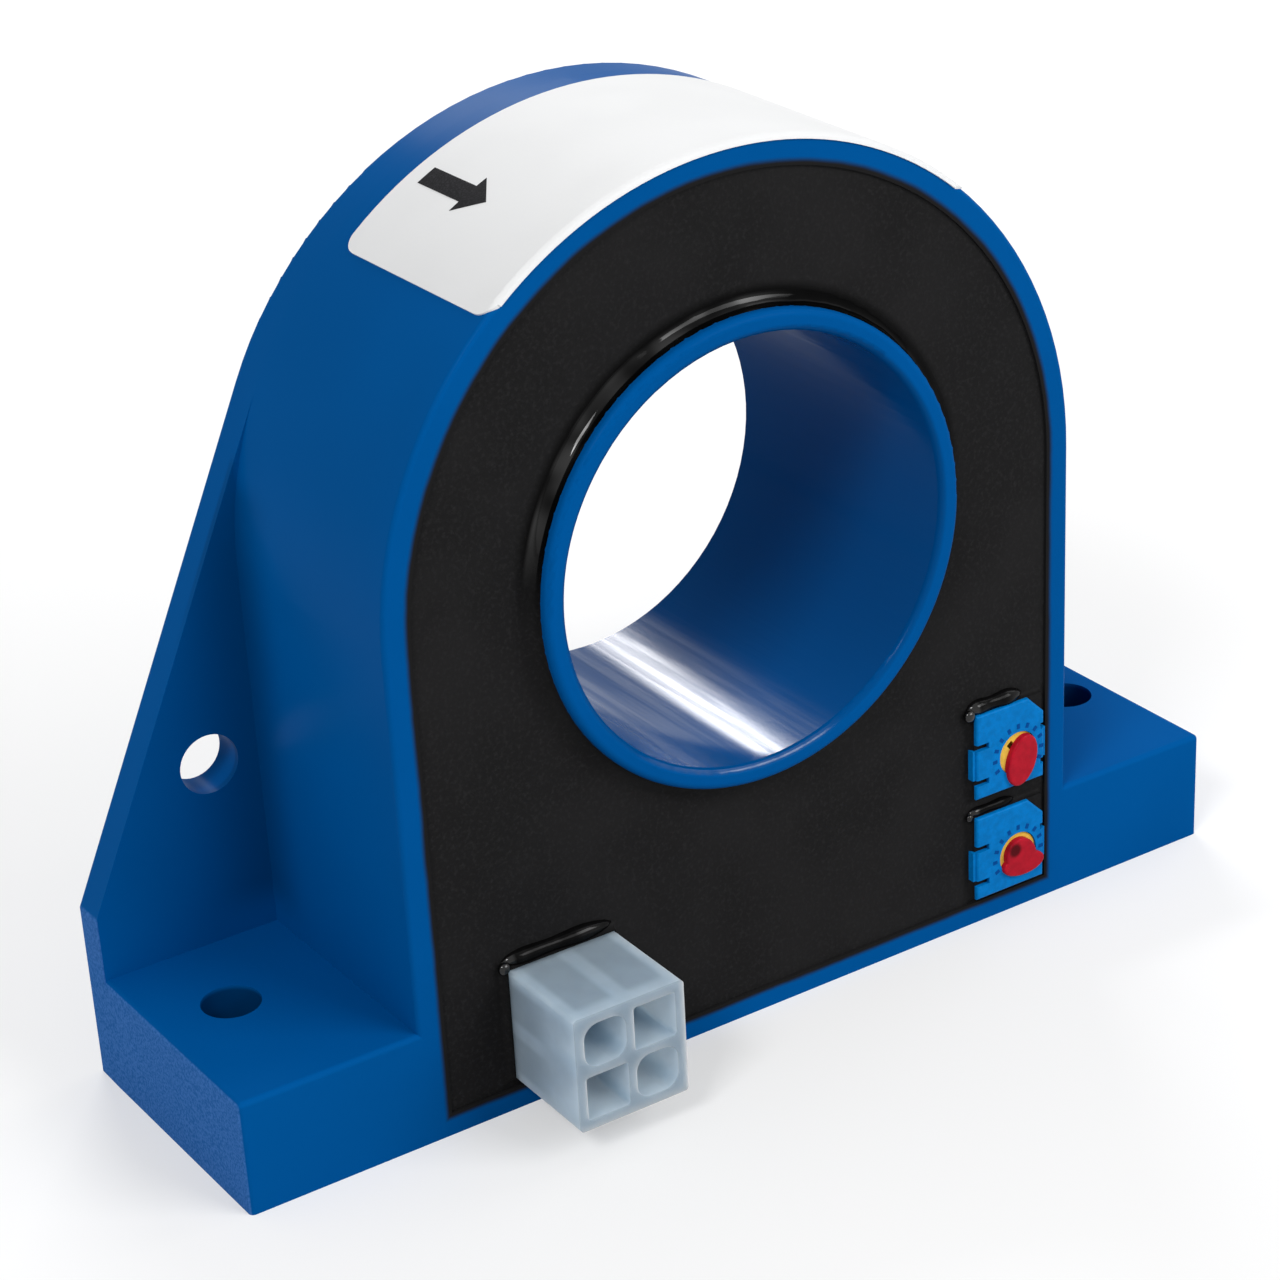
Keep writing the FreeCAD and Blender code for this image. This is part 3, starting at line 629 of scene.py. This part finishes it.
def metal_finish(name, colour, roughness, scale=3.0):
    """Drawn or dipped metal with a faint cloud in its polish."""
    finish = Finish(name, {"Metallic": 1.0})
    place = finish.place()
    cloud = finish.noise(place, scale=scale, detail=3.0, roughness=0.6)
    shade = finish.mixed(cloud.step(0.3, 0.7), tint(colour, 0.86), tint(colour, 1.05))
    finish.paint(base_colour=shade, roughness=roughness + cloud * 0.15,
                 normal=finish.bump(cloud, distance=0.01, strength=0.5))
    return finish.material


def core_finish(colours, sizes):
    """Steel strip wound into a ring: fine turns round the window's axis."""
    finish = Finish("wound_core_steel", {"Metallic": 0.9})
    place = finish.place()
    x, _, z = finish.apart(place)
    cloud = finish.noise(place, scale=0.6, detail=3.0)
    turns = from_axis(x, z, sizes) * (math.tau / STRIP_THICKNESS) + cloud * 2.0
    edges = turns.sine() * 0.5 + 0.5
    colour = finish.mixed(edges * 0.6, tint(colours.steel, 1.0), tint(colours.steel, 0.45))
    finish.paint(base_colour=colour, roughness=0.34 + cloud * 0.2,
                 normal=finish.bump(edges, distance=0.02, strength=0.6))
    return finish.material


def board_finish(colours):
    """Green solder mask over glass cloth and copper tracks."""
    finish = Finish("green_solder_mask", {"IOR": 1.5})
    place = finish.place()
    x, _, z = finish.apart(place)
    green = colours.board
    thread = math.tau / CLOTH_PITCH
    weave = (x * thread).sine() * (z * thread).sine() * 0.5 + 0.5
    cloud = finish.noise(place, scale=0.4, detail=3.0)
    tracks = finish.stretched(place, (0.25, 1.0, 1.4))
    copper = finish.noise(tracks, scale=0.5, detail=1.0).step(0.5, 0.53)
    colour = finish.mixed(copper * 0.5, tint(green, 0.85), tint(green, 1.5))
    colour = finish.mixed(cloud * 0.3, colour, tint(green, 0.7))
    finish.paint(base_colour=colour, roughness=0.3 + weave * 0.08,
                 normal=finish.bump(weave + copper * 2.0, distance=0.02, strength=0.5))
    return finish.material


# Shapes


def dress(nodes, material):
    """Gives carried CAD nodes their material."""
    for name in nodes:
        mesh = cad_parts[name].data
        mesh.materials.clear()
        mesh.materials.append(material)


def new_piece(name, mesh, material):
    """Puts a finished mesh into the scene on the sensor's body."""
    piece = bpy.data.objects.new(name, mesh)
    bpy.context.scene.collection.objects.link(piece)
    if material is not None:
        mesh.materials.clear()
        mesh.materials.append(material)
    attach(piece, BODY)
    return piece


def arrow_slices(sizes):
    """Lines across the arrow, each as its place along the arch and its two depths."""
    half_head = sizes.arrow_head / 2
    half_shaft = sizes.arrow_shaft / 2
    steps = range(ARROW_STEPS + 1)
    outer = [half_shaft + (half_head - half_shaft) * step / ARROW_STEPS for step in steps]
    inner = [half_shaft * step / ARROW_STEPS for step in steps]

    def point_line(across):
        return sizes.arrow_tip + (sizes.arrow_neck - sizes.arrow_tip) * abs(across) / half_head

    barb = [(across, point_line(across), sizes.arrow_neck) for across in outer]
    shaft = [(across, point_line(across), sizes.arrow_tail) for across in inner]
    left = [(-across, low, high) for across, low, high in reversed(barb)]
    middle = [(-across, low, high) for across, low, high in reversed(shaft[1:])] + shaft
    return left, middle, barb


def film_radius(depth, sizes):
    """Radius of the sticker's outside at one depth; the arch widens to the back."""
    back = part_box("label")[1]
    return back.z - sizes.window_height - sizes.mould_draft * (back.y - depth)


def wrapped(across, depth, sizes):
    """A point of the printing laid round the arch."""
    radius = film_radius(depth, sizes) + sizes.ink_height
    angle = sizes.arrow_angle - across / radius
    return (radius * math.cos(angle), depth, sizes.window_height + radius * math.sin(angle))


def arrow_mesh(sizes):
    """The block arrow as a thin closed plate bent round the arch."""
    shape = bmesh.new()
    for band in arrow_slices(sizes):
        for near, far in zip(band, band[1:]):
            outline = ((near[0], near[1]), (far[0], far[1]), (far[0], far[2]), (near[0], near[2]))
            corners = [shape.verts.new(wrapped(*point, sizes)) for point in outline]
            if max(near[2] - near[1], far[2] - far[1]) > NO_LENGTH:
                shape.faces.new(corners)
    bmesh.ops.remove_doubles(shape, verts=shape.verts, dist=MERGED)
    bmesh.ops.recalc_face_normals(shape, faces=shape.faces)
    out = Vector((math.cos(sizes.arrow_angle), 0.0, math.sin(sizes.arrow_angle)))
    shape.faces.ensure_lookup_table()
    if shape.faces[0].normal.dot(out) < 0:
        bmesh.ops.reverse_faces(shape, faces=shape.faces)
    under = bmesh.ops.extrude_face_region(shape, geom=shape.faces[:])
    moved = [part for part in under["geom"] if isinstance(part, bmesh.types.BMVert)]
    for vert in moved:
        flat = Vector((vert.co.x, 0.0, vert.co.z - sizes.window_height))
        vert.co -= flat.normalized() * sizes.ink_height * 0.9
    bmesh.ops.recalc_face_normals(shape, faces=shape.faces)
    mesh = bpy.data.meshes.new("label_arrow")
    shape.to_mesh(mesh)
    shape.free()
    return mesh


def roll_swell(share):
    """Thickness of a roll at a share of its length: rounded ends and a slow ripple."""
    rounded = max(0.02, 1 - abs(2 * share - 1) ** 4) ** 0.5
    return rounded * (1 + 0.12 * math.sin(share * 11.0))


def add_roll(shape, start, end, radius):
    """A rounded roll of resin between two points at one height."""
    rings = []
    for station in range(ROLL_STATIONS + 1):
        share = station / ROLL_STATIONS
        middle = start.lerp(end, share)
        ring = []
        for side in range(ROLL_SIDES):
            angle = math.tau * side / ROLL_SIDES
            out = Vector((0.0, math.cos(angle), math.sin(angle)))
            ring.append(shape.verts.new(middle + out * radius * roll_swell(share)))
        rings.append(ring)
    for near, far in zip(rings, rings[1:]):
        for side in range(ROLL_SIDES):
            after = (side + 1) % ROLL_SIDES
            shape.faces.new((near[side], near[after], far[after], far[side]))
    shape.faces.new(rings[0])
    shape.faces.new(rings[-1])


def add_bead(shape, place, radius):
    """A rounded bead of resin, flatter than it is wide."""
    flat = Matrix.Translation(place) @ Matrix.Diagonal((1.0, 0.75, 1.0, 1.0))
    bmesh.ops.create_icosphere(shape, subdivisions=3, radius=radius, matrix=flat)


def resin_rolls_mesh(sizes):
    """Rolls of resin over the header and the trimmers, each with a bead at its left end."""
    shape = bmesh.new()
    depth = sizes.resin_face - 0.1 * sizes.roll_radius
    for node, reach, thickness in RESIN_ROLLS:
        low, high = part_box(node)
        radius = sizes.roll_radius * thickness
        height = high.z + 0.7 * radius
        start = Vector((low.x - 0.3 * radius, depth, height))
        end = Vector((low.x + reach * (high.x - low.x), depth, height))
        add_roll(shape, start, end, radius)
        corner = Vector((low.x - 0.2 * radius, depth - 0.5 * radius, high.z + 0.1 * radius))
        add_bead(shape, corner, sizes.bead_radius * thickness)
    bmesh.ops.recalc_face_normals(shape, faces=shape.faces)
    for face in shape.faces:
        face.smooth = True
    mesh = bpy.data.meshes.new("resin_rolls")
    shape.to_mesh(mesh)
    shape.free()
    return mesh


class Tree:
    """A Geometry Nodes tree with named inputs."""

    def __init__(self, name, inputs):
        self.tree = bpy.data.node_groups.new(name, "GeometryNodeTree")
        self.tree.interface.new_socket(
            "Geometry", in_out="OUTPUT", socket_type="NodeSocketGeometry")
        self.sockets = {}
        for label, kind in inputs.items():
            item = self.tree.interface.new_socket(label, in_out="INPUT", socket_type=kind)
            self.sockets[label] = item.identifier
        self.given = self.tree.nodes.new("NodeGroupInput")
        self.result = self.tree.nodes.new("NodeGroupOutput")

    def node(self, kind, settings=None, sockets=None, output=0):
        made = self.tree.nodes.new(kind)
        for name, value in (settings or {}).items():
            setattr(made, name, value)
        for key, value in (sockets or {}).items():
            self.feed(made.inputs[key], value)
        return made.outputs[output]

    def feed(self, socket, value):
        for part in value if isinstance(value, list) else [value]:
            if isinstance(part, bpy.types.NodeSocket):
                self.tree.links.new(part, socket)
            else:
                socket.default_value = part

    def sums(self, operation, first, second):
        return self.node("ShaderNodeMath", {"operation": operation}, {0: first, 1: second})

    def baked(self, name, values):
        """The tree's result as a plain mesh."""
        carrier = bpy.data.objects.new(name + "_carrier", bpy.data.meshes.new(name + "_carrier"))
        bpy.context.scene.collection.objects.link(carrier)
        modifier = carrier.modifiers.new(name, "NODES")
        modifier.node_group = self.tree
        for label, value in values.items():
            modifier[self.sockets[label]] = value
        graph = bpy.context.evaluated_depsgraph_get()
        mesh = bpy.data.meshes.new_from_object(carrier.evaluated_get(graph))
        carrier.modifiers.remove(modifier)
        bpy.data.objects.remove(carrier)
        mesh.name = name
        return mesh


def scale_mark_tree():
    """Marks in an arc round each rotor, facing the front."""
    tree = Tree("trimmer_scale_marks", {
        "Marks": "NodeSocketInt", "Radius": "NodeSocketFloat", "Start": "NodeSocketFloat",
        "Sweep": "NodeSocketFloat", "Mark size": "NodeSocketVector",
        "Upper place": "NodeSocketVector", "Lower place": "NodeSocketVector",
        "Material": "NodeSocketMaterial"})
    given = tree.given.outputs
    arc = tree.node("GeometryNodeCurveArc", {"mode": "RADIUS"}, {
        "Resolution": given["Marks"], "Radius": given["Radius"],
        "Start Angle": given["Start"], "Sweep Angle": given["Sweep"]})
    step = tree.sums("DIVIDE", given["Sweep"], tree.sums("SUBTRACT", given["Marks"], 1.0))
    turned = tree.sums("MULTIPLY", tree.node("GeometryNodeInputIndex"), step)
    angle = tree.sums("ADD", turned, given["Start"])
    turn = tree.node("ShaderNodeCombineXYZ", None, {"Z": angle})
    mark = tree.node("GeometryNodeMeshCube", None, {"Size": given["Mark size"]})
    marks = tree.node("GeometryNodeInstanceOnPoints", None, {
        "Points": arc, "Instance": mark, "Rotation": turn})
    upright = tree.node("GeometryNodeTransform", None, {
        "Geometry": marks, "Rotation": (math.pi / 2, 0.0, 0.0)})
    both = []
    for place in ("Upper place", "Lower place"):
        both.append(tree.node("GeometryNodeTransform", None, {
            "Geometry": upright, "Translation": given[place]}))
    joined = tree.node("GeometryNodeJoinGeometry", None, {"Geometry": both})
    real = tree.node("GeometryNodeRealizeInstances", None, {"Geometry": joined})
    coloured = tree.node("GeometryNodeSetMaterial", None, {
        "Geometry": real, "Material": given["Material"]})
    tree.feed(tree.result.inputs["Geometry"], coloured)
    return tree


# Operators, one for each piece or group of like pieces


class SensorPiece:
    """What the sensor's operators share."""

    bl_options = {"REGISTER", "UNDO"}

    def given(self, context):
        scene = context.scene
        return scene.sensor_sizes, scene.sensor_colours


class SENSOR_OT_housing(SensorPiece, bpy.types.Operator):
    """Finish the blue moulded body with its flange, feet and window"""

    bl_idname = "sensor.housing"
    bl_label = "Housing"

    def execute(self, context):
        sizes, colours = self.given(context)
        dress(["housing"], moulding_finish(colours, sizes))
        return {"FINISHED"}


class SENSOR_OT_resin(SensorPiece, bpy.types.Operator):
    """Finish the black resin that fills the body, with its rolls and beads"""

    bl_idname = "sensor.resin"
    bl_label = "Potting resin"

    def execute(self, context):
        sizes, colours = self.given(context)
        dress(["potting_resin"], resin_finish(colours, sizes))
        new_piece("resin_rolls", resin_rolls_mesh(sizes), wet_resin_finish(colours))
        return {"FINISHED"}


class SENSOR_OT_label(SensorPiece, bpy.types.Operator):
    """Finish the white sticker over the arch and print its arrow"""

    bl_idname = "sensor.label"
    bl_label = "Sticker and arrow"

    def execute(self, context):
        sizes, colours = self.given(context)
        dress(["label"], sticker_finish(colours))
        new_piece("label_arrow", arrow_mesh(sizes), ink_finish(colours))
        return {"FINISHED"}


class SENSOR_OT_header(SensorPiece, bpy.types.Operator):
    """Finish the four-way nylon header and its contacts"""

    bl_idname = "sensor.header"
    bl_label = "Signal header"

    def execute(self, context):
        colours = self.given(context)[1]
        dress(["connector_housing"], nylon_finish(colours))
        dress(["connector_contacts"], metal_finish("tinned_contact", colours.tin, 0.25))
        return {"FINISHED"}


class SENSOR_OT_trimmers(SensorPiece, bpy.types.Operator):
    """Finish the two trimmers with their rotors, pins, lacquer and scale marks"""

    bl_idname = "sensor.trimmers"
    bl_label = "Trimmers"

    def execute(self, context):
        sizes, colours = self.given(context)
        body = plastic_finish("trimmer_blue_plastic", colours.trimmer, 0.3, 0.1, 1.6)
        rotor = plastic_finish("yellow_rotor_plastic", colours.rotor, 0.35)
        lacquer = lacquer_finish(colours)
        dress(["offset_trimmer_body", "gain_trimmer_body"], body)
        dress(["offset_trimmer_rotor", "gain_trimmer_rotor"], rotor)
        dress(["offset_trimmer_seal", "gain_trimmer_seal"], lacquer)
        dress(["trimmer_pins"], metal_finish("tinned_pin", colours.tin, 0.25))
        self.add_marks(sizes, plastic_finish("dark_blue_mark", colours.mark, 0.4))
        return {"FINISHED"}

    def add_marks(self, sizes, material):
        thickness = 2 * sizes.ink_height
        places = []
        for name in ("offset", "gain"):
            middle = node_middle(name + "_trimmer_rotor")[0]
            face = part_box(name + "_trimmer_body")[0].y
            places.append((middle.x * MM, face, middle.z * MM))
        tree = scale_mark_tree()
        mesh = tree.baked("trimmer_scale_marks", {
            "Marks": sizes.mark_count, "Radius": sizes.mark_radius,
            "Start": sizes.mark_start, "Sweep": sizes.mark_sweep,
            "Mark size": (sizes.mark_length, sizes.mark_width, thickness),
            "Upper place": places[0], "Lower place": places[1], "Material": material})
        new_piece("trimmer_scale_marks", mesh, None)


class SENSOR_OT_core(SensorPiece, bpy.types.Operator):
    """Finish the wound core, the Hall element in its gap and the element's leads"""

    bl_idname = "sensor.core"
    bl_label = "Core and Hall element"

    def execute(self, context):
        sizes, colours = self.given(context)
        dress(["magnetic_core"], core_finish(colours, sizes))
        dress(["hall_element"], plastic_finish("black_epoxy_element", colours.epoxy, 0.45))
        dress(["hall_leads"], metal_finish("tinned_hall_lead", colours.tin, 0.28))
        return {"FINISHED"}


class SENSOR_OT_board(SensorPiece, bpy.types.Operator):
    """Finish the circuit board with its chips, resistors, capacitors, diodes and solder"""

    bl_idname = "sensor.board"
    bl_label = "Circuit board"

    def execute(self, context):
        colours = self.given(context)[1]
        dress(["circuit_board"], board_finish(colours))
        dress(["amplifier_chips", "diode_bodies"],
              plastic_finish("black_epoxy_chip", colours.epoxy, 0.42, 0.12, 4.0))
        dress(["resistor_bodies"], plastic_finish("black_resistor_glaze", colours.epoxy, 0.22))
        dress(["capacitor_bodies"], plastic_finish("tan_ceramic", colours.ceramic, 0.35, 0.1, 5.0))
        dress(["amplifier_leads", "resistor_ends", "capacitor_ends", "diode_tabs"],
              metal_finish("tinned_terminal", colours.tin, 0.3))
        dress(["solder_joints"], metal_finish("bright_solder", colours.solder, 0.18, 6.0))
        return {"FINISHED"}


class SENSOR_OT_stage(SensorPiece, bpy.types.Operator):
    """Set up the floor, the room, the lamps and the camera"""

    bl_idname = "sensor.stage"
    bl_label = "Stage"

    def execute(self, context):
        stage = context.scene.sensor_stage
        self.floor(stage)
        self.room(stage)
        for name, place, sides, brightness in SOFT_BOXES:
            self.lamp(name, place, sides, getattr(stage, brightness))
        self.camera(stage)
        context.scene.view_settings.view_transform = "Standard"
        return {"FINISHED"}

    def floor(self, stage):
        half = stage.floor_width / 2
        mesh = bpy.data.meshes.new("floor")
        corners = [(-half, -half, 0.0), (half, -half, 0.0), (half, half, 0.0), (-half, half, 0.0)]
        mesh.from_pydata(corners, [], [(0, 1, 2, 3)])
        floor = bpy.data.objects.new("floor", mesh)
        bpy.context.scene.collection.objects.link(floor)
        mesh.materials.append(self.floor_material(stage))
        return floor

    def floor_material(self, stage):
        """Pale and matt; part of its white is its own, so its shadows stay soft."""
        finish = Finish("pale_floor", {
            "Base Color": FLOOR_GREY, "Emission Color": WHITE,
            "Roughness": 0.9, "Specular IOR Level": 0.0})
        seen = finish.node("ShaderNodeLightPath", output="Is Camera Ray")
        rays = seen.socket.node.outputs
        for ray in ("Is Glossy Ray", "Is Transmission Ray"):
            seen = seen + Value(finish, rays[ray])
        finish.feed(finish.shader.inputs["Emission Strength"], seen * stage.floor_level)
        return finish.material

    def room(self, stage):
        """White where it is seen, at a plain level where it lights."""
        world = bpy.data.worlds.new("studio_room")
        world.use_nodes = True
        bpy.context.scene.world = world
        tree = world.node_tree
        tree.nodes.clear()
        path = tree.nodes.new("ShaderNodeLightPath")
        seen = path.outputs["Is Camera Ray"]
        for ray in ("Is Glossy Ray", "Is Transmission Ray"):
            either = tree.nodes.new("ShaderNodeMath")
            either.operation = "MAXIMUM"
            tree.links.new(seen, either.inputs[0])
            tree.links.new(path.outputs[ray], either.inputs[1])
            seen = either.outputs[0]
        strength = tree.nodes.new("ShaderNodeMapRange")
        strength.inputs["To Min"].default_value = stage.room_level
        strength.inputs["To Max"].default_value = 1.0
        tree.links.new(seen, strength.inputs["Value"])
        background = tree.nodes.new("ShaderNodeBackground")
        background.inputs["Color"].default_value = WHITE
        tree.links.new(strength.outputs[0], background.inputs["Strength"])
        output = tree.nodes.new("ShaderNodeOutputWorld")
        tree.links.new(background.outputs[0], output.inputs["Surface"])

    def lamp(self, name, place, sides, brightness):
        """A soft box that faces the sensor; at a brightness of 1 its face is white."""
        light = bpy.data.lights.new(name, "AREA")
        light.shape = "RECTANGLE"
        light.size = sides[0]
        light.size_y = sides[1]
        light.energy = 4 * brightness * sides[0] * sides[1]
        lamp = bpy.data.objects.new(name, light)
        bpy.context.scene.collection.objects.link(lamp)
        lamp.location = place
        aim = Vector(LIT_POINT) - Vector(place)
        lamp.rotation_euler = aim.to_track_quat("-Z", "Y").to_euler()

    def camera(self, stage):
        data = bpy.data.cameras.new("camera")
        data.lens = stage.camera_lens
        data.sensor_width = FILM_WIDTH
        data.clip_start = NEAREST_SEEN
        camera = bpy.data.objects.new("camera", data)
        bpy.context.scene.collection.objects.link(camera)
        camera.location = stage.camera_place
        camera.rotation_euler = Euler(stage.camera_turn, "XYZ")
        bpy.context.scene.camera = camera


PIECES = (SENSOR_OT_housing, SENSOR_OT_resin, SENSOR_OT_label, SENSOR_OT_header,
          SENSOR_OT_trimmers, SENSOR_OT_core, SENSOR_OT_board, SENSOR_OT_stage)


class SENSOR_PT_pieces(bpy.types.Panel):
    """Lists the sensor's pieces"""

    bl_idname = "SENSOR_PT_pieces"
    bl_label = "Current sensor"
    bl_space_type = "VIEW_3D"
    bl_region_type = "UI"
    bl_category = "Sensor"

    def draw(self, context):
        for piece in PIECES:
            self.layout.operator(piece.bl_idname)


CLASSES = (SensorSizes, SensorColours, SensorStage) + PIECES + (SENSOR_PT_pieces,)


def register():
    for kind in CLASSES:
        bpy.utils.register_class(kind)
    bpy.types.Scene.sensor_sizes = PointerProperty(type=SensorSizes)
    bpy.types.Scene.sensor_colours = PointerProperty(type=SensorColours)
    bpy.types.Scene.sensor_stage = PointerProperty(type=SensorStage)


def unregister():
    del bpy.types.Scene.sensor_stage
    del bpy.types.Scene.sensor_colours
    del bpy.types.Scene.sensor_sizes
    for kind in reversed(CLASSES):
        bpy.utils.unregister_class(kind)


def main():
    register()
    bpy.ops.sensor.housing()
    bpy.ops.sensor.resin()
    bpy.ops.sensor.label()
    bpy.ops.sensor.header()
    bpy.ops.sensor.trimmers()
    bpy.ops.sensor.core()
    bpy.ops.sensor.board()
    bpy.ops.sensor.stage()


if __name__ == "__main__":
    main()
